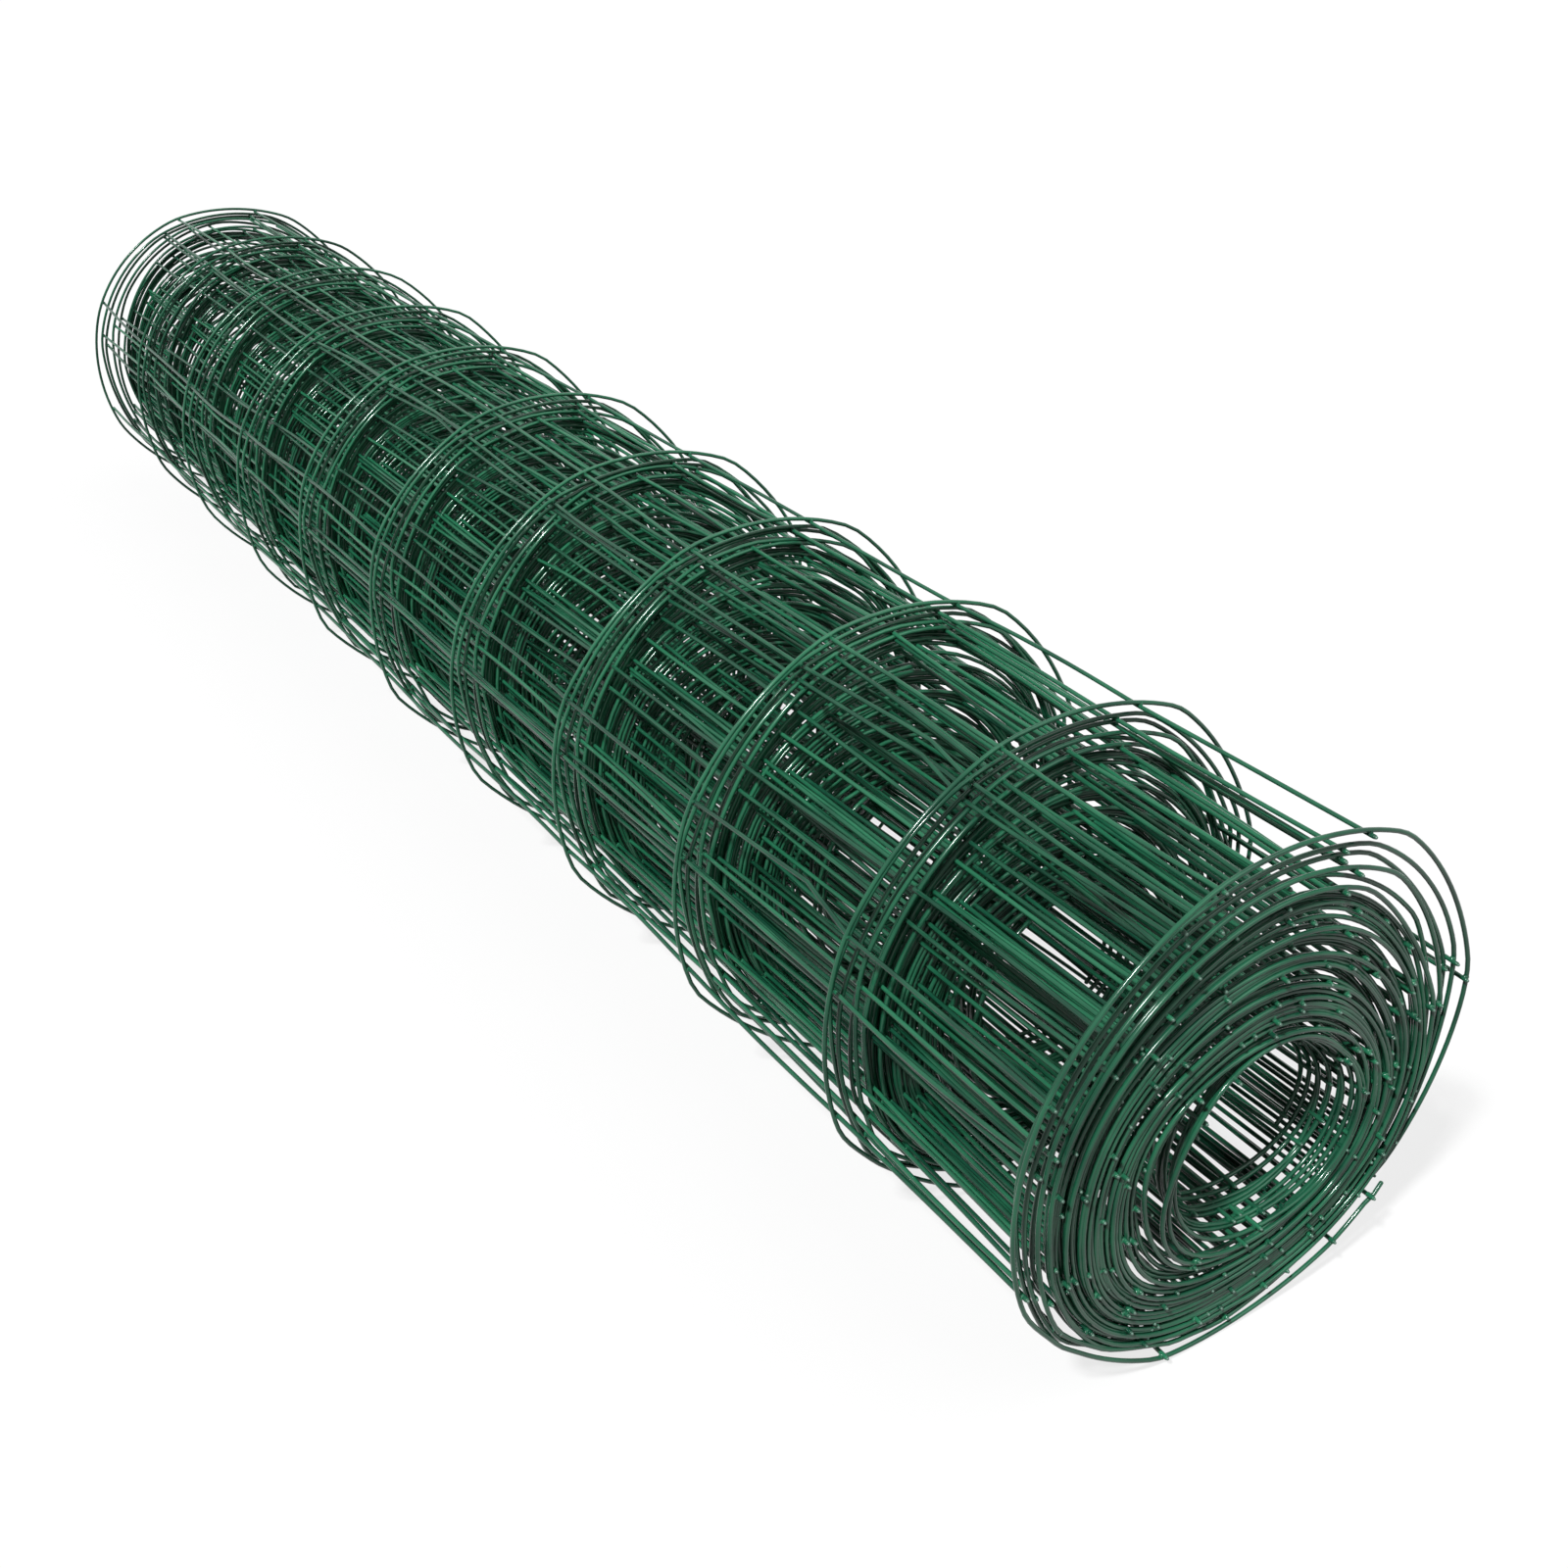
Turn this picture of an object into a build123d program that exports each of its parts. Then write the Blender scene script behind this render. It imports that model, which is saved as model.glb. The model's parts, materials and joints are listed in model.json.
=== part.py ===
"""Roll of plastic-coated welded wire fencing, lying on its side along X.

Lengths are in millimetres. The origin is on the floor, under the middle of the roll.
"""

import os

from build123d import *

# The mesh before it is wound: line wires run round the roll, stays run along it
mesh_height = 1000.0  # between the centres of the two edge line wires
line_wire_pitch = 100.0
wire_diameter = 1.7  # over the coating
stay_stub = 2.5  # how far a stay's cut end stands past the edge line wire

# The winding
roll_diameter = 200.0  # over the line wires of the last turn
bore_diameter = 70.0
end_crests = 20  # turns shown on an end, each for two or three that lie close together
turn_stagger = 3.0  # how far the furthest turns stand out past the others at an end
core_slip = 20.0  # how far the innermost turn has slid out at the far end
slipped_crests = 4  # crests next to the bore that have slid, each less than the one inside it

# The line wires of the loose outer turns, which stand out as a hoop at each line wire
hoop_stand = 9.0  # past the turns that are packed close
hoop_foot = 5.0  # width where the wires of the inner loose turns lie side by side

# Depth of the valley between two crests, as a share of what stands past the edge line wire
turn_relief_share = 0.4

wire_radius = wire_diameter / 2
roll_radius = roll_diameter / 2
bore_radius = bore_diameter / 2
packed_radius = roll_radius - hoop_stand
crest_pitch = (packed_radius - bore_radius) / end_crests
line_wire_spaces = round(mesh_height / line_wire_pitch)
mesh_middle_x = core_slip / 2
crest_reach = mesh_height / 2 + wire_radius + stay_stub + turn_stagger
valley_reach = crest_reach - turn_relief_share * (stay_stub + turn_stagger)


def slip_at(crest):
    """Return how far the mesh has slid towards the far end, at a crest counted from the bore."""
    return core_slip * max(0, 1 - crest / slipped_crests)


def end_turns(side):
    """Return the turns on one end, from the bore outwards: a crest for each, with valleys between."""
    points = [(mesh_middle_x + side * valley_reach - core_slip, bore_radius)]
    for crest in range(end_crests):
        crest_inside = bore_radius + crest * crest_pitch
        crest_x = mesh_middle_x + side * crest_reach - slip_at(crest)
        valley_slip = (slip_at(crest) + slip_at(crest + 1)) / 2
        valley_x = mesh_middle_x + side * valley_reach - valley_slip
        points.append((crest_x, crest_inside + crest_pitch / 2))
        points.append((valley_x, crest_inside + crest_pitch))
    return points


def hoop(x):
    """Return the section of the hoop at one line wire: wide at the packed turns, one wire wide on top."""
    return [
        (x - hoop_foot / 2, packed_radius),
        (x - wire_radius, roll_radius),
        (x + wire_radius, roll_radius),
        (x + hoop_foot / 2, packed_radius),
    ]


def roll_profile():
    """Return the half section of the roll as (place along X, radius), once round."""
    outline = end_turns(-1)
    for space in range(line_wire_spaces + 1):
        outline += hoop(mesh_middle_x + mesh_height * (space / line_wire_spaces - 1 / 2))
    outline += reversed(end_turns(1))
    return outline


def make_mesh_roll():
    """Turn the half section about the roll's own axis, one roll radius above the floor."""
    with BuildPart() as roll:
        with BuildSketch(Plane.XY.offset(roll_radius)):
            with BuildLine():
                Polyline(roll_profile(), close=True)
            make_face()
        revolve(axis=Axis((0, 0, roll_radius), (1, 0, 0)))
    return roll.part


os.makedirs("parts", exist_ok=True)
mesh_roll = make_mesh_roll()
mesh_roll.label = "mesh_roll"
export_step(mesh_roll, "parts/mesh_roll.step")
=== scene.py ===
"""Looks of a roll of plastic-coated welded wire fencing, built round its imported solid.

The mesh is one long sheet wound into a spiral. Line wires run round the roll at eleven stations, stays run
along it and are welded inside the line wires. Lengths are in metres, in the frame of the solid. Angles are in
radians about the roll or its bore, from +Y towards +Z. A turn is a place along the spiral, from the bore out.
"""
import json
import math

import bpy
import numpy as np
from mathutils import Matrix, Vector


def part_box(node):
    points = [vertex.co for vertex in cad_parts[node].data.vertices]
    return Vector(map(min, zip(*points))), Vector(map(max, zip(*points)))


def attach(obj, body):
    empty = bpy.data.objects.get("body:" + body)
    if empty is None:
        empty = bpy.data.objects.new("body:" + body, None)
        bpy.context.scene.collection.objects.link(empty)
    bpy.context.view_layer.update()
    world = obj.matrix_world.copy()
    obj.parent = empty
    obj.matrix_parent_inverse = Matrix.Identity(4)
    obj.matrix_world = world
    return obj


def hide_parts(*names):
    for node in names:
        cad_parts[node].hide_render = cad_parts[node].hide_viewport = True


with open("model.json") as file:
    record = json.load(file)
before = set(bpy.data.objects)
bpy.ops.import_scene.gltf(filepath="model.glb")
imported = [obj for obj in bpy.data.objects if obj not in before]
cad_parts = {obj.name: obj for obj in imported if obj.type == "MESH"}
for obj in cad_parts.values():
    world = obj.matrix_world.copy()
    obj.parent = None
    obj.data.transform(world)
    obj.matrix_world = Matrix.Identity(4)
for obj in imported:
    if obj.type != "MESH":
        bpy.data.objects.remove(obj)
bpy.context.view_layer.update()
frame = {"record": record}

X_AXIS = np.array([1.0, 0, 0])
Z_AXIS = np.array([0, 0, 1.0])

# The mesh
LINE_PITCH = 0.1
STAY_PITCH = 0.0836
WIRE = 0.0017
CORE_WIRE = 0.0011
WELD_SINK = 0.00025
STUB_LEAST = 0.0010
STUB_MOST = 0.0026
FREE_TAIL = 0.027
HOOK_LENGTH = 0.008
HOOK_RISE = 0.0020
HOOK_BEND = 0.8

# How finely the wires are drawn
LINE_STEP = 0.0075
END_LINE_STEP = 0.005
LINE_SIDES = 6
END_LINE_SIDES = 8
END_STATIONS = 2
STAY_SIDES = 6
STAY_STEPS_PER_SPAN = 8
WELD_SIDES = 6
CUT_SIDES = 8

# The winding, from the solid's own box and bore
NODE = "mesh_roll"
low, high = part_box(NODE)
core_bore = frame["record"]["mounts"][0]
ROLL_RADIUS = (high.y - low.y) / 2
BORE_RADIUS = core_bore["dims"]["r_mm"] / 1000
SLIP = -2 * core_bore["pos_m"][0]
SLIPPED_TURNS = 9
TURNS = 54
STATIONS = 11
NEAR_X = LINE_PITCH * (STATIONS - 1) / 2 + SLIP / 2
STEPS = 144
EARLY_RISE = 0.08
FREE_END_ANGLE = math.radians(-37)
MIN_GAP = 0.00035
SOFT_REACH = 1

# How far the bore's centre lies off the roll's: it has sagged, and the whole winding rests on the floor
BORE_DROP = 0.021
BORE_SHIFT = 0.013
REST_DROP = 0.0016
BORE_CENTRE = np.array([BORE_SHIFT, ROLL_RADIUS - BORE_DROP - REST_DROP])

SEED = 20
rng = np.random.default_rng(SEED)


def direction(angle):
    """Unit vectors across the roll, as (y, z)."""
    return np.stack([np.cos(angle), np.sin(angle)], axis=-1)


def turn_angle(turn):
    """Angle about the bore at a place along the spiral."""
    return FREE_END_ANGLE + 2 * math.pi * (turn - TURNS)


def wrapped(angle):
    """The same angle between minus half a turn and half a turn."""
    return (angle + math.pi) % (2 * math.pi) - math.pi


def unit(vector):
    """Vector of length one the same way."""
    return vector / np.linalg.norm(vector)


def outer_radius(angle, envelope):
    """Distance from the bore's centre to the outside of the winding, along each angle."""
    across = direction(angle) @ np.array([BORE_SHIFT, -BORE_DROP])
    reach = across**2 - BORE_SHIFT**2 - BORE_DROP**2 + envelope**2
    return -across + np.sqrt(reach)


def across_points(radius, angle):
    """Points across the roll, as (y, z), from radii and angles about the bore's centre."""
    return BORE_CENTRE + radius[..., None] * direction(angle)


def path_lengths(points):
    """Length along a path from its start to each of its points."""
    return np.concatenate([[0], np.cumsum(np.linalg.norm(np.diff(points, axis=0), axis=1))])


class Waves:
    """Smooth random field over an angle and a station: a few cosines with seeded phases."""

    WEIGHT_SPREAD = 0.3

    def __init__(self, orders, rows, drift):
        shape = (rows, len(orders))
        self.orders = np.array(orders, float)
        self.phases = rng.uniform(0, 2 * math.pi, shape)
        self.drifts = rng.uniform(-drift, drift, shape)
        self.weights = rng.normal(1, self.WEIGHT_SPREAD, shape) / math.sqrt(len(orders))

    def at(self, angle, station):
        """Field of each row at the angles, as an array of rows by angles."""
        turn = self.orders[None, :, None] * angle[None, None, :]
        phase = (self.phases + self.drifts * station)[:, :, None]
        return (self.weights[:, :, None] * np.cos(turn + phase)).sum(1)


spiral_turn = np.arange(TURNS * STEPS + 1) / STEPS
spiral_angle = turn_angle(spiral_turn)
loop_angle = spiral_angle[:STEPS]

# Random unevenness of the gaps between turns, of the rim and of the bore
gap_waves = Waves((1, 2, 3), TURNS, drift=0.12)
rim_waves = Waves((2, 3, 5), 1, drift=0.25)
bore_waves = Waves((2, 3), 1, drift=0.15)
RIM_UNREST = 0.0005
BORE_UNREST = 0.002

# Depth of a turn is 0 at the bore and 1 at the outside. The gaps between packed turns open to the left near
# the bore and to the upper left further out
depth = np.arange(TURNS) / (TURNS - 1)
PACKED_LEAN_ANGLES = np.radians((195, 200, 165, 150, 150))
PACKED_LEAN_DEPTHS = (0, 0.10, 0.13, 0.25, 0.5, 1)
PACKED_LEAN_SIZES = (0.2, 0.2, 1.1, 0.8, 0.25, 0.3)
packed_lean = np.interp(depth, PACKED_LEAN_DEPTHS, PACKED_LEAN_SIZES)
packed_lean_angle = np.interp(depth, np.linspace(0, 1, len(PACKED_LEAN_ANGLES)), PACKED_LEAN_ANGLES)

# The same for the loose outer turns: at the near end, along the middle and at the far end
LOOSE_LEAN_ANGLES = np.radians((125, 215, 205))
LOOSE_LEAN_SIZES = np.array((0.5, 0.8, 1.0))
LOOSE_DEPTHS = (0.84, 0.90)
loose_share = np.interp(depth, LOOSE_DEPTHS, (0, 1))

# How strongly the random unevenness acts on the gaps
UNREST_DEPTHS = (0, 0.1, 0.15, 0.8, 0.92, 1)
UNREST_SIZES = (0.3, 0.3, 0.75, 0.7, 0.4, 0.25)
gap_unrest = np.interp(depth, UNREST_DEPTHS, UNREST_SIZES)

# Relative widths of the loose gaps from the outside in, at the near end, along the middle and at the far end
OUTER_LOOSE = np.array((
    (2.4, 4.2, 3.2, 4.2, 3.2, 2.6, 2.0),
    (4.5, 2.0, 5.0, 1.6, 3.0, 1.6, 2.0),
    (4.2, 1.5, 3.0, 4.0, 4.0, 3.5, 3.0),
))

# Relative widths of the gaps round the bore, from the bore out
INNER_LOOSE = np.array((0.3, 0.3, 0.3, 0.4, 0.4, 0.4, 0.5, 0.5, 0.6, 4.0, 0.6, 3.5, 0.6, 3.0, 0.7, 2.0))

# The turns between them lie in uneven bundles
BUNDLE_SPREAD = 0.6
BUNDLE_SEED = 4
bundling = np.exp(np.random.default_rng(BUNDLE_SEED).normal(0, BUNDLE_SPREAD, TURNS))

# How the tail of the last turn springs off the turn inside it
TAIL_SPRING = 4.0
TAIL_ANGLE = math.radians(-68)
TAIL_REACH = 0.35

# How many stations the looks of the near end and of the far end reach into the middle
NEAR_REACH = 2
FAR_REACH = 3


def along_shares(station):
    """How far a station belongs to the near end, to the middle and to the far end."""
    near = max(0, 1 - station / NEAR_REACH)
    far = max(0, 1 - (STATIONS - 1 - station) / FAR_REACH)
    return np.array([near, 1 - near - far, far])


def looseness(station):
    """Relative width of each gap between turns at a station, from the bore out."""
    loose = bundling.copy()
    loose[: len(INNER_LOOSE)] = INNER_LOOSE
    loose[: -OUTER_LOOSE.shape[1] - 1 : -1] = along_shares(station) @ OUTER_LOOSE
    return loose


def base_loops(station):
    """Radius of each turn about the bore's centre: rows are turns from the bore out, columns are angles."""
    inner = BORE_RADIUS + BORE_UNREST * bore_waves.at(loop_angle, station)[0]
    rim = ROLL_RADIUS - WIRE / 2 - RIM_UNREST * (1 + rim_waves.at(loop_angle, station)[0])
    rim = np.minimum(rim, ROLL_RADIUS - WIRE / 2)
    room = outer_radius(loop_angle, rim) - inner - TURNS * MIN_GAP
    shares = along_shares(station)
    angle = packed_lean_angle * (1 - loose_share) + shares @ LOOSE_LEAN_ANGLES * loose_share
    size = packed_lean * (1 - loose_share) + shares @ LOOSE_LEAN_SIZES * loose_share
    lean = size[:, None] * np.cos(loop_angle[None] - angle[:, None])
    unrest = gap_unrest[:, None] * gap_waves.at(loop_angle, station)
    share = np.exp(lean + unrest) * looseness(station)[:, None]
    share[-1] *= 1 + TAIL_SPRING * np.exp((np.cos(loop_angle - TAIL_ANGLE) - 1) / TAIL_REACH)
    gaps = MIN_GAP + room * share / share.sum(0)
    return np.vstack([inner, inner + np.cumsum(gaps, axis=0)])


def to_spiral(loops):
    """Radius along the spiral: each turn goes over from one loop to the next, the last one early."""
    even = np.arange(STEPS) / STEPS
    early = 1 - np.exp(-even / EARLY_RISE)
    shares = [early if turn == TURNS - 1 else even for turn in range(TURNS)]
    turns = [loops[turn] * (1 - share) + loops[turn + 1] * share for turn, share in enumerate(shares)]
    return np.concatenate(turns + [loops[TURNS, :1]])


spirals = np.array([to_spiral(base_loops(k)) for k in range(STATIONS)])
mean_spiral = spirals.mean(0)
arc = path_lengths(across_points(mean_spiral, spiral_angle))

# Stays at an even pitch from the free end in, and one more close to the end
stay_arc = np.append(np.arange(arc[-1] - FREE_TAIL, 0, -STAY_PITCH)[::-1], arc[-1] - HOOK_LENGTH)
STAYS = len(stay_arc)
stay_turn = np.interp(stay_arc, arc, spiral_turn)
stay_depth = (stay_turn - stay_turn[0]) / (stay_turn[-1] - stay_turn[0])

# How flat the line wires run between stays: at the near end, along the middle and at the far end, by depth,
# and flattest towards the upper right and the lower left
END_FLATNESS = np.array((0.7, 1, 0.6))
FLAT_DEPTHS = (0, 0.1, 0.8, 0.93, 1)
FLAT_SIZES = (0.3, 0.12, 0.12, 0.62, 0.68)
FLAT_ANGLE = math.radians(45)
FLAT_MEAN = 0.8
FLAT_SWING = 0.4
FLAT_LEAST = 0.5
FLAT_UNREST = 0.15
FLAT_MOST = 0.95
WIDEST_HALF_SPAN = 1.2
DEEPEST_DIP = 0.010


def flatten_spans(radius, flatness):
    """Pull the line wire in between its stays, so that each turn is a soft polygon."""
    span = np.searchsorted(stay_turn, spiral_turn) - 1
    inside = (span >= 0) & (span < STAYS - 1)
    span = np.clip(span, 0, STAYS - 2)
    along = (spiral_turn - stay_turn[span]) / (stay_turn[span + 1] - stay_turn[span])
    half = math.pi * (stay_turn[span + 1] - stay_turn[span])
    sagitta = np.minimum(radius * (1 - np.cos(np.minimum(half, WIDEST_HALF_SPAN))), DEEPEST_DIP)
    dip = sagitta * flatness[span] * (1 - (2 * along - 1) ** 2)
    return radius - np.where(inside, dip, 0)


def keep_apart(radius, rim):
    """Lay each turn on the one inside it, no closer than half the least gap, and keep it inside the rim."""
    out = radius.copy()
    for turn in range(1, TURNS + 1):
        here = slice(turn * STEPS, min((turn + 1) * STEPS, len(out)))
        inside = slice(here.start - STEPS, here.stop - STEPS)
        out[here] = np.maximum(out[here], out[inside] + MIN_GAP / 2)
    return np.minimum(out, rim)


def soften(radius, reach):
    """Round the corners along the spiral with a short moving average."""
    kernel = np.hanning(2 * reach + 3)[1:-1]
    padded = np.pad(radius, reach, mode="edge")
    return np.convolve(padded, kernel / kernel.sum(), mode="valid")


rim_limit = outer_radius(spiral_angle, ROLL_RADIUS - WIRE / 2)
flat_reach = np.interp(stay_depth, FLAT_DEPTHS, FLAT_SIZES)
span_flatness = flat_reach * rng.uniform(FLAT_LEAST, 1, STAYS)
span_angle = turn_angle(stay_turn) + STAY_PITCH / ROLL_RADIUS / 2
span_flatness *= FLAT_MEAN + FLAT_SWING * np.cos(2 * (span_angle - FLAT_ANGLE))
line_radius = []
for station in range(STATIONS):
    flatness = np.minimum(span_flatness + FLAT_UNREST * flat_reach * rng.normal(0, 1, STAYS), FLAT_MOST)
    flatness *= along_shares(station) @ END_FLATNESS
    radius = flatten_spans(spirals[station], flatness)
    radius = soften(keep_apart(radius, rim_limit), SOFT_REACH)
    line_radius.append(np.minimum(radius, rim_limit))
line_radius = np.array(line_radius)

# Each turn lies beside the one inside it: it steps to the other side once a turn, and the winding wanders
STAGGER = 0.0013
STEP_SPREAD = 0.3
STEP_LENGTH = 0.08
WANDER = 0.0045
WANDER_RATES = (0.13, 0.29, 0.61, 1.27)
AXIAL_LIMIT = 0.003
step_turns = np.arange(TURNS + 1) + rng.uniform(-STEP_SPREAD, STEP_SPREAD, TURNS + 1)
side_step = np.prod(np.tanh((spiral_turn[None] - step_turns[:, None]) / STEP_LENGTH), axis=0)
wander_phases = rng.uniform(0, 2 * math.pi, len(WANDER_RATES))
wander = sum(np.sin(2 * math.pi * spiral_turn * f + p) for f, p in zip(WANDER_RATES, wander_phases))
wander /= len(WANDER_RATES)
axial = AXIAL_LIMIT * np.tanh((STAGGER * side_step + WANDER * wander) / AXIAL_LIMIT)

# The last turn stands out at the near end
LAST_TURN_AHEAD = 0.0024
LAST_TURN_STEP = 0.15
last_share = np.clip((spiral_turn - (TURNS - 1)) / LAST_TURN_STEP, 0, 1)
axial = axial * (1 - last_share) + LAST_TURN_AHEAD * last_share

# The innermost turns have slipped towards the far end
axial -= SLIP * np.clip(1 - spiral_turn / SLIPPED_TURNS, 0, 1)

# The rounded end of a wire, from its tip: how far two rings lie past the end, and how wide they are, in radii
CAP_PLACES = (0.75, 0.5)
CAP_SIZES = (0.45, 0.85)

# The bead of a weld: its rings along it, and its half length and radius in wire widths
WELD_RINGS = np.array((-0.95, -0.5, 0.5, 0.95))
WELD_HALF_LENGTH = 0.86
WELD_RADIUS = 0.75


class Wires:
    """Vertices and faces of many round wires, gathered into one mesh."""

    def __init__(self):
        self.vertices = []
        self.quads = []
        self.caps = []
        self.count = 0

    def add_rings(self, middles, sizes, one, other, sides):
        """Add rings round the middles, spanned by two ways, joined in turn and closed at both ends."""
        turn = 2 * math.pi * np.arange(sides) / sides
        ring = np.cos(turn)[:, None] * one[..., None, :] + np.sin(turn)[:, None] * other[..., None, :]
        rings = middles[:, None] + sizes[:, None, None] * ring
        index = self.count + np.arange(len(middles) * sides).reshape(-1, sides)
        ahead = np.roll(index, -1, axis=1)
        self.quads.append(np.stack([index[:-1], ahead[:-1], ahead[1:], index[1:]], axis=-1).reshape(-1, 4))
        self.caps += [index[0, ::-1], index[-1]]
        self.vertices.append(rings.reshape(-1, 3))
        self.count += index.size

    def add(self, points, reference, sides, radius=WIRE / 2):
        """Add one wire along a path, with rounded ends."""
        tangent = np.gradient(points, axis=0)
        tangent /= np.linalg.norm(tangent, axis=1)[:, None]
        start = [points[0] - tangent[0] * radius * place for place in CAP_PLACES]
        end = [points[-1] + tangent[-1] * radius * place for place in reversed(CAP_PLACES)]
        path = np.vstack([start, points, end])
        tangent = np.vstack([tangent[:1], tangent[:1], tangent, tangent[-1:], tangent[-1:]])
        size = np.full(len(path), radius)
        for ring, share in enumerate(CAP_SIZES):
            size[[ring, -1 - ring]] *= share
        normal = reference - (tangent @ reference)[:, None] * tangent
        normal /= np.linalg.norm(normal, axis=1)[:, None]
        self.add_rings(path, size, normal, np.cross(tangent, normal), sides)

    def add_weld(self, centre, outward):
        """Add the bead of coating where a stay meets a line wire."""
        points = centre + outward * WELD_RINGS[:, None] * WIRE * WELD_HALF_LENGTH
        size = WIRE * WELD_RADIUS * np.sqrt(1 - WELD_RINGS**2)
        self.add_rings(points, size, X_AXIS, np.cross(outward, X_AXIS), WELD_SIDES)

    def to_object(self, name, material):
        """Make the mesh object, smooth shaded, riding on the roll."""
        vertices = np.vstack(self.vertices)
        quads = np.vstack(self.quads)
        corners = np.concatenate([quads.ravel()] + self.caps)
        sizes = np.concatenate([np.full(len(quads), quads.shape[1]), [len(cap) for cap in self.caps]])
        starts = np.concatenate([[0], np.cumsum(sizes)[:-1]])
        mesh = bpy.data.meshes.new(name)
        mesh.vertices.add(len(vertices))
        mesh.vertices.foreach_set("co", vertices.astype(np.float32).ravel())
        mesh.loops.add(len(corners))
        mesh.loops.foreach_set("vertex_index", corners.astype(np.int32))
        mesh.polygons.add(len(starts))
        mesh.polygons.foreach_set("loop_start", starts.astype(np.int32))
        mesh.polygons.foreach_set("use_smooth", np.ones(len(starts), bool))
        mesh.update(calc_edges=True)
        mesh.validate()
        mesh.materials.append(material)
        piece = bpy.data.objects.new(name, mesh)
        bpy.context.scene.collection.objects.link(piece)
        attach(piece, "root")
        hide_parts(NODE)


# The coating, and the bare steel where the stays are cut
COATING_DARK = (0.004, 0.039, 0.021, 1)
COATING_LIGHT = (0.013, 0.106, 0.052, 1)
COATING_DARK_AT = 0.45
COATING_LIGHT_AT = 1.0
COATING_ROUGHNESS = 0.16
COATING_SPECULAR = 0.3
MOTTLE_SCALE = 45
WIRE_DIFFERENCE = 0.5
STEEL_COLOR = (0.07, 0.13, 0.10, 1)
STEEL_METALLIC = 0.3
STEEL_ROUGHNESS = 0.45


def coated_wire_material():
    """Dark green plastic coating: glossy, each wire a little different, slightly uneven along it."""
    material = bpy.data.materials.new("coated_wire")
    material.use_nodes = True
    nodes = material.node_tree.nodes
    links = material.node_tree.links
    shader = nodes["Principled BSDF"]
    shader.inputs["Roughness"].default_value = COATING_ROUGHNESS
    shader.inputs["Specular IOR Level"].default_value = COATING_SPECULAR
    coords = nodes.new("ShaderNodeTexCoord")
    noise = nodes.new("ShaderNodeTexNoise")
    noise.inputs["Scale"].default_value = MOTTLE_SCALE
    links.new(coords.outputs["Object"], noise.inputs["Vector"])
    geometry = nodes.new("ShaderNodeNewGeometry")
    blend = nodes.new("ShaderNodeMath")
    blend.operation = "MULTIPLY_ADD"
    links.new(geometry.outputs["Random Per Island"], blend.inputs[0])
    blend.inputs[1].default_value = WIRE_DIFFERENCE
    links.new(noise.outputs["Fac"], blend.inputs[2])
    ramp = nodes.new("ShaderNodeValToRGB")
    dark, light = ramp.color_ramp.elements
    dark.position, dark.color = COATING_DARK_AT, COATING_DARK
    light.position, light.color = COATING_LIGHT_AT, COATING_LIGHT
    links.new(blend.outputs["Value"], ramp.inputs["Fac"])
    links.new(ramp.outputs["Color"], shader.inputs["Base Color"])
    return material


def cut_steel_material():
    """Bare steel of the core wire, where the stays are cut."""
    material = bpy.data.materials.new("cut_steel")
    material.use_nodes = True
    shader = material.node_tree.nodes["Principled BSDF"]
    shader.inputs["Base Color"].default_value = STEEL_COLOR
    shader.inputs["Metallic"].default_value = STEEL_METALLIC
    shader.inputs["Roughness"].default_value = STEEL_ROUGHNESS
    return material


green = coated_wire_material()
steel = cut_steel_material()


def station_x(station):
    """Place along the roll of one line wire, before its turns shift."""
    return NEAR_X - LINE_PITCH * station


def at_an_end(station):
    """Whether a station is one of the two at either end, where the line wires are seen best."""
    return station < END_STATIONS or station >= STATIONS - END_STATIONS


def line_wire_path(station):
    """Centre line of one line wire from the bore out, in even steps, with a small hook at its free end."""
    tail = np.clip((arc - (arc[-1] - HOOK_LENGTH)) / HOOK_LENGTH, 0, 1)
    radius = line_radius[station] + HOOK_RISE * np.sin(math.pi * tail * HOOK_BEND)
    points = np.column_stack([station_x(station) + axial, across_points(radius, spiral_angle)])
    length = path_lengths(points)
    step = END_LINE_STEP if at_an_end(station) else LINE_STEP
    even = np.linspace(0, length[-1], int(length[-1] / step))
    return np.column_stack([np.interp(even, length, points[:, axis]) for axis in range(3)])


for station in range(STATIONS):
    wires = Wires()
    sides = END_LINE_SIDES if at_an_end(station) else LINE_SIDES
    wires.add(line_wire_path(station), X_AXIS, sides)
    wires.to_object(f"line_wire_{station + 1:02d}", green)

# How stays run askew, in turns: each by itself from station to station, and all of a turn together from end
# to end. How far they bow between stations
STAY_JITTER = 0.0026
SKEW = 0.024
SKEW_RATES = (0.23, 0.61)
STAY_BOW = 0.0007

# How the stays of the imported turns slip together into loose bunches
BUNCHES = 11
BUNCH_PULL = 0.7
BUNCH_ANGLE = math.radians(-62)
PACKED_DEPTHS = (0.80, 0.88)
packed_share = np.interp(stay_depth, PACKED_DEPTHS, (1, 0))

# Where the stays of the loose turns keep clear of the two sides on which the line wires stand out
CLEAR_ANGLES = np.radians((212, 58))
CLEAR_REACH = math.radians(30)
CLEAR_POWER = 0.3


def clear_of_sides(turn):
    """Move places on the loose turns away from the sides on which the line wires stand out."""
    for side in CLEAR_ANGLES:
        off = wrapped(turn_angle(turn) - side)
        cleared = np.sign(off) * CLEAR_REACH * (np.abs(off) / CLEAR_REACH) ** CLEAR_POWER
        turn = turn + np.where(np.abs(off) < CLEAR_REACH, cleared - off, 0) / (2 * math.pi)
    return turn


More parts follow.
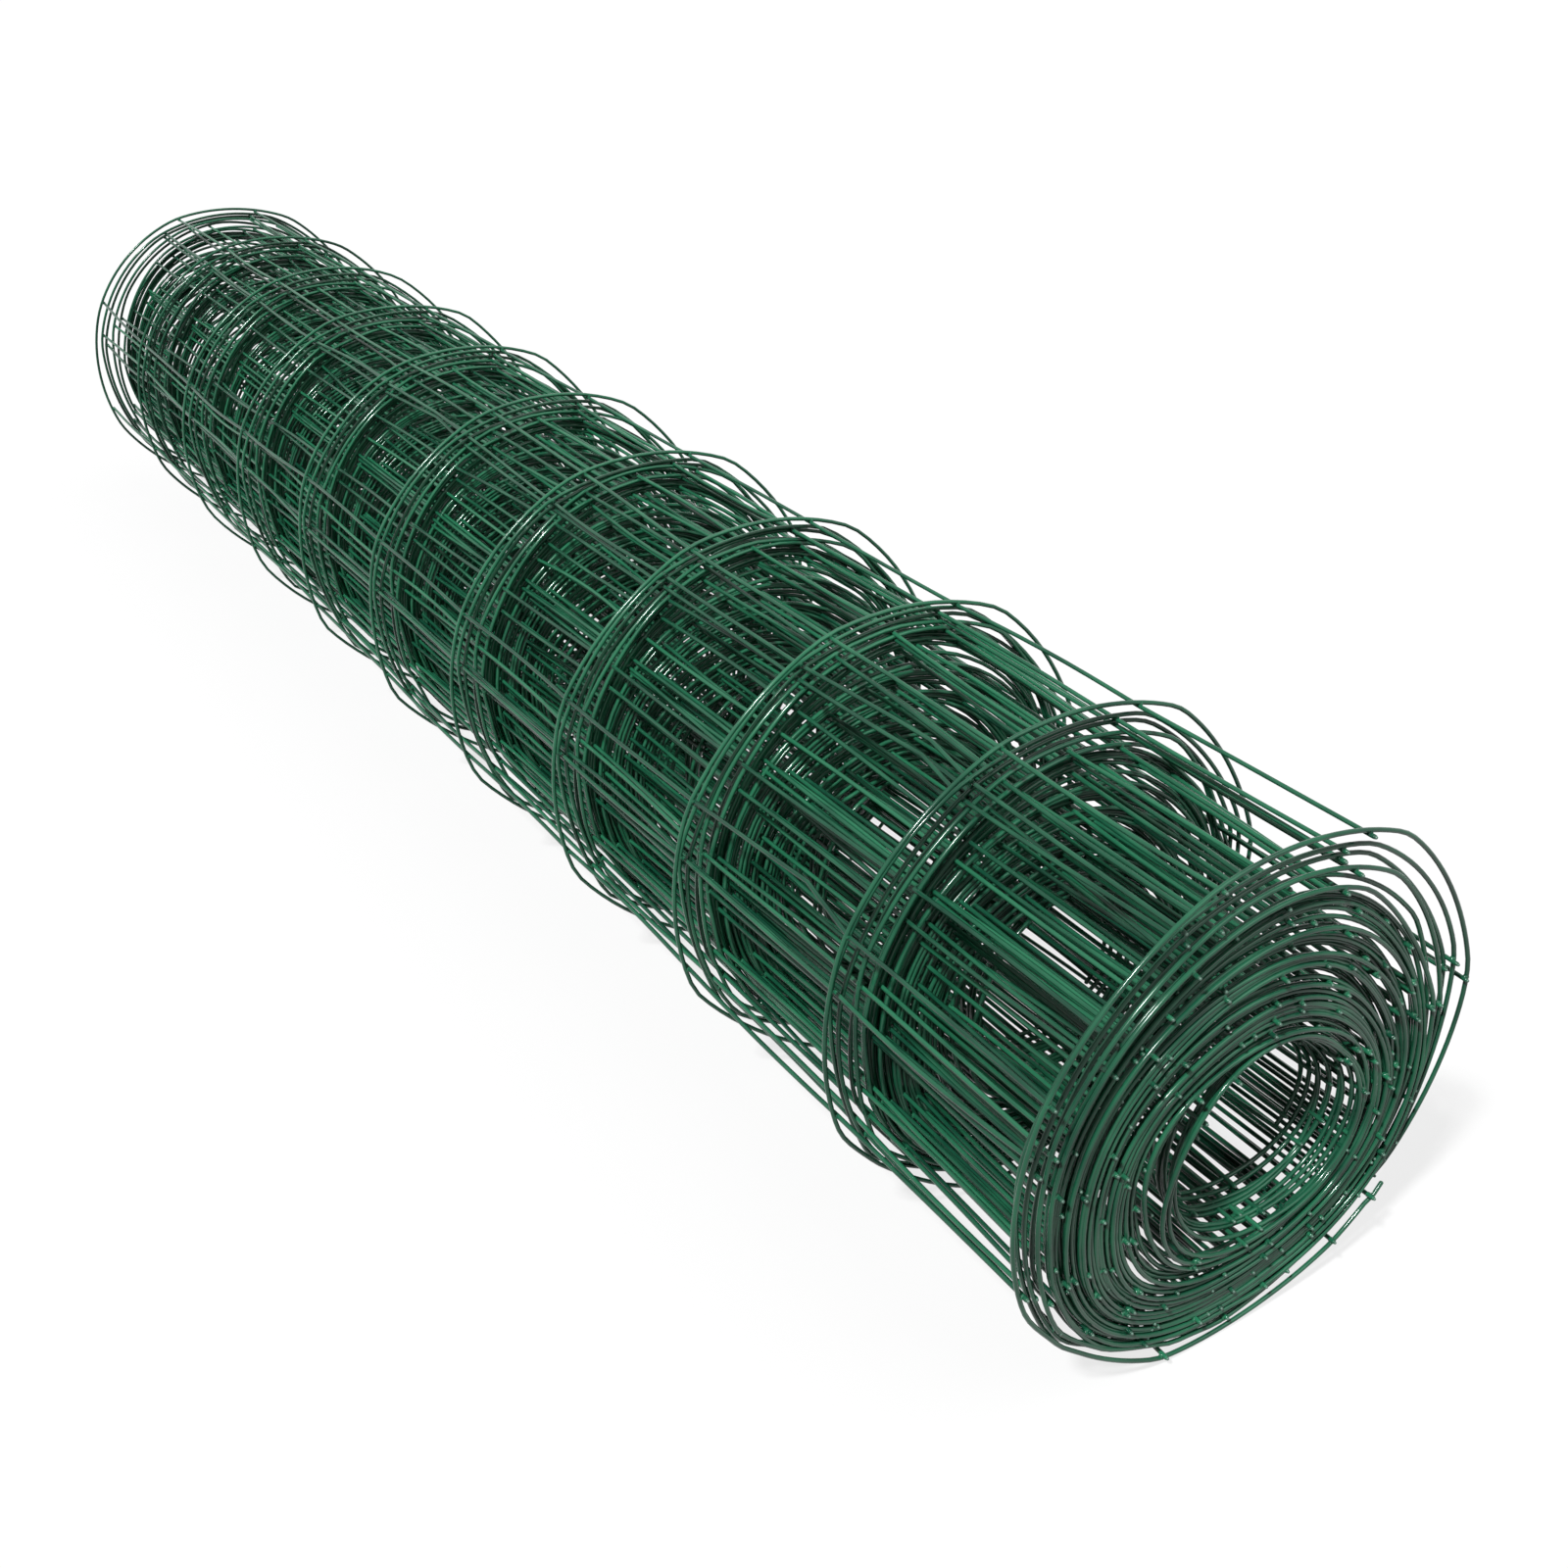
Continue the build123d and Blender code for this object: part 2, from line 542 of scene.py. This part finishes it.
def stay_welds(number):
    """Places of one stay's welds on its centre line, from the near end on, and the way out at each."""
    turn = stay_turn[number] + STAY_JITTER * np.cumsum(rng.normal(0, 1, STATIONS))
    skew = sum(math.sin(2 * math.pi * rate * stay_turn[number]) for rate in SKEW_RATES) / len(SKEW_RATES)
    turn += SKEW * skew * (np.arange(STATIONS) / (STATIONS - 1) - 0.5)
    pull = BUNCH_PULL * packed_share[number] / (2 * math.pi * BUNCHES)
    turn -= pull * np.sin(BUNCHES * (turn_angle(turn) - BUNCH_ANGLE))
    if packed_share[number] == 0:
        turn = clear_of_sides(turn)
    turn = np.clip(turn, spiral_turn[0], spiral_turn[-1])
    angle = turn_angle(turn)
    places, outward = [], []
    for station in range(STATIONS):
        radius = np.interp(turn[station], spiral_turn, line_radius[station])
        x = station_x(station) + np.interp(turn[station], spiral_turn, axial)
        inside = radius - WIRE + WELD_SINK
        places.append([x, *across_points(np.array(inside), angle[station])])
        outward.append([0, *direction(angle[station])])
    return np.array(places), np.array(outward)


# Knocks that bent neighbouring stays together: span from the near end, angle, reach in angle, place along the
# span from its near station, sideways push and outward push
KNOCKS = (
    (1, math.radians(123), 0.06, 0.25, 0.0125, 0.007),
    (1, math.radians(145), 0.06, 0.25, 0.0090, 0.003),
    (5, math.radians(121), 0.06, 0.375, 0.0110, 0.006),
)
KNOCK_DEPTH = 0.015
SEEN_TURNS = 2.0

# Small knocks all over the roll, with the ranges of the same values
RANDOM_KNOCKS = 26
RANDOM_REACHES = (0.05, 0.12)
RANDOM_PLACES = (0.2, 0.4)
RANDOM_PUSHES = (-0.005, 0.006)
RANDOM_LIFTS = (-0.002, 0.003)

stay_places = across_points(np.interp(stay_turn, spiral_turn, mean_spiral), turn_angle(stay_turn))
stay_angles = np.arctan2(stay_places[:, 1] - ROLL_RADIUS, stay_places[:, 0])
seen_angles = stay_angles[stay_turn > TURNS - SEEN_TURNS]


def nearest_stay(angle):
    """Angle of the stay in the outer turns that is nearest to an angle."""
    return seen_angles[np.argmax(np.cos(seen_angles - angle))]


knocks = [(span, nearest_stay(angle), *rest) for span, angle, *rest in KNOCKS]
for _ in range(RANDOM_KNOCKS):
    knocks.append((
        int(rng.integers(0, STATIONS - 1)),
        rng.uniform(-math.pi, math.pi),
        rng.uniform(*RANDOM_REACHES),
        rng.uniform(*RANDOM_PLACES),
        rng.uniform(*RANDOM_PUSHES),
        rng.uniform(*RANDOM_LIFTS),
    ))


def knock_shift(span, share, place, outward):
    """Shift of a stay in one span from the knocks that reach it."""
    angle = math.atan2(place[2] - ROLL_RADIUS, place[1])
    sunk = ROLL_RADIUS - math.hypot(place[1], place[2] - ROLL_RADIUS)
    sideways = np.array([0, outward[2], -outward[1]])
    shift = np.zeros((len(share), 3))
    for where, middle, reach, top, push, lift in knocks:
        if where != span:
            continue
        force = math.exp(-(wrapped(angle - middle) / reach) ** 2 - sunk / KNOCK_DEPTH)
        shape = np.minimum(share / top, (1 - share) / (1 - top))
        shift += force * shape * (push * sideways + lift * outward)
    return shift


def smooth_span(share, start, start_slope, end, end_slope):
    """Points of a smooth curve from one place to another, with given slopes at both."""
    return (
        (2 * share**3 - 3 * share**2 + 1) * start
        + (share**3 - 2 * share**2 + share) * start_slope
        + (-2 * share**3 + 3 * share**2) * end
        + (share**3 - share**2) * end_slope
    )


def stay_path(welds, outward):
    """Centre line of a stay through its welds, with a slight bow in each span and a stub past each end."""
    slope = np.gradient(welds, axis=0)
    share = np.arange(STAY_STEPS_PER_SPAN)[:, None] / STAY_STEPS_PER_SPAN
    path = []
    for span in range(STATIONS - 1):
        part = smooth_span(share, welds[span], slope[span], welds[span + 1], slope[span + 1])
        part[:, 1:] += np.sin(math.pi * share) * rng.normal(0, STAY_BOW, 2)
        part += knock_shift(span, share, welds[span], outward[span])
        path.append(part)
    path = np.vstack(path + [welds[-1:]])
    near_stub, far_stub = rng.uniform(STUB_LEAST, STUB_MOST, 2)
    near_tip = path[0] + unit(path[0] - path[1]) * near_stub
    far_tip = path[-1] + unit(path[-1] - path[-2]) * far_stub
    return np.vstack([near_tip, path, far_tip])


# Stays are gathered by depth. Deep welds are made only at the ends of the roll, where they show
GROUPS = ("inner", "middle", "outer")
WELDED_DEPTH = 0.6

# The cut faces: how far they stand past the stubs and how thick they are, in wire widths
CUT_RISE = 0.4
CUT_THICKNESS = 0.2
groups = [Wires() for _ in GROUPS]
cut_ends = Wires()
for number in range(STAYS):
    group = groups[number * len(GROUPS) // STAYS]
    welds, outward = stay_welds(number)
    path = stay_path(welds, outward)
    group.add(path, Z_AXIS, STAY_SIDES)
    for tip, behind in ((path[0], path[1]), (path[-1], path[-2])):
        way = unit(tip - behind)
        face = tip + way * WIRE * CUT_RISE
        disc = np.array([face - way * WIRE * CUT_THICKNESS, face])
        cut_ends.add(disc, Z_AXIS, CUT_SIDES, CORE_WIRE / 2)
    for station, (place, out) in enumerate(zip(welds, outward)):
        if stay_depth[number] > WELDED_DEPTH or at_an_end(station):
            group.add_weld(place + out * (WIRE - WELD_SINK) / 2, out)
for name, group in zip(GROUPS, groups):
    group.to_object(f"stays_{name}", green)
cut_ends.to_object("cut_ends", steel)

# The floor and the light
FLOOR_SIZE = 30.0
FLOOR_COLOR = 0.13
FLOOR_GLOW = 0.775
WORLD_LIGHT = 0.20
LAMP_DISTANCE = 3


def grey(level):
    """Opaque grey of one level."""
    return (level, level, level, 1)


def seen_rays(tree):
    """Socket that is 1 on rays that show a thing to the eye, straight, mirrored or through glass, else 0."""
    rays = tree.nodes.new("ShaderNodeLightPath")
    total = rays.outputs["Is Camera Ray"]
    for name in ("Is Glossy Ray", "Is Transmission Ray"):
        add = tree.nodes.new("ShaderNodeMath")
        add.operation = "ADD"
        add.use_clamp = True
        tree.links.new(total, add.inputs[0])
        tree.links.new(rays.outputs[name], add.inputs[1])
        total = add.outputs["Value"]
    return total


def floor_material():
    """White floor that stays white to the eye and keeps the roll's shadow."""
    material = bpy.data.materials.new("floor_white")
    material.use_nodes = True
    nodes = material.node_tree.nodes
    links = material.node_tree.links
    nodes.clear()
    diffuse = nodes.new("ShaderNodeBsdfDiffuse")
    diffuse.inputs["Color"].default_value = grey(FLOOR_COLOR)
    glow = nodes.new("ShaderNodeEmission")
    glow.inputs["Color"].default_value = grey(FLOOR_GLOW)
    links.new(seen_rays(material.node_tree), glow.inputs["Strength"])
    both = nodes.new("ShaderNodeAddShader")
    out = nodes.new("ShaderNodeOutputMaterial")
    links.new(diffuse.outputs[0], both.inputs[0])
    links.new(glow.outputs[0], both.inputs[1])
    links.new(both.outputs[0], out.inputs["Surface"])
    return material


bpy.ops.mesh.primitive_plane_add(size=FLOOR_SIZE, location=(0, 0, 0))
floor = bpy.context.object
floor.name = "floor"
floor.data.materials.append(floor_material())


def sun(name, towards, spread, strength):
    """Add an even light that comes from one way, spread over an angle in degrees."""
    light = bpy.data.lights.new(name, "SUN")
    light.energy = strength
    light.angle = math.radians(spread)
    lamp = bpy.data.objects.new(name, light)
    lamp.rotation_euler = Vector(towards).to_track_quat("Z", "Y").to_euler()
    lamp.location = Vector(towards) * LAMP_DISTANCE
    bpy.context.scene.collection.objects.link(lamp)


sun("key", towards=(0.22, -0.55, 0.79), spread=5, strength=5.4)
sun("overhead", towards=(0.50, 0.30, 0.81), spread=50, strength=1.2)

world = bpy.data.worlds.new("studio")
bpy.context.scene.world = world
world.use_nodes = True
background = world.node_tree.nodes["Background"]
background.inputs["Color"].default_value = grey(1)
level = world.node_tree.nodes.new("ShaderNodeMapRange")
level.inputs["To Min"].default_value = WORLD_LIGHT
level.inputs["To Max"].default_value = 1
world.node_tree.links.new(seen_rays(world.node_tree), level.inputs["Value"])
world.node_tree.links.new(level.outputs["Result"], background.inputs["Strength"])

# Camera, fitted to the eleven hoops of line wire
CAMERA_PLACE = Vector((0.800 + SLIP / 2, -0.3684, 0.4718))
AZIMUTH = math.radians(57.25)
ELEVATION = math.radians(29.61)
FOCAL_PIXELS = 1857
FRAME_PIXELS = 1600
SENSOR_WIDTH = 36
camera_data = bpy.data.cameras.new("camera")
camera_data.sensor_width = SENSOR_WIDTH
camera_data.lens = SENSOR_WIDTH * FOCAL_PIXELS / FRAME_PIXELS
camera = bpy.data.objects.new("camera", camera_data)
camera.location = CAMERA_PLACE
back = Vector((
    math.sin(AZIMUTH) * math.cos(ELEVATION),
    -math.cos(AZIMUTH) * math.cos(ELEVATION),
    math.sin(ELEVATION),
))
camera.rotation_euler = back.to_track_quat("Z", "Y").to_euler()
bpy.context.scene.collection.objects.link(camera)
bpy.context.scene.camera = camera

bpy.context.scene.view_settings.view_transform = "Standard"
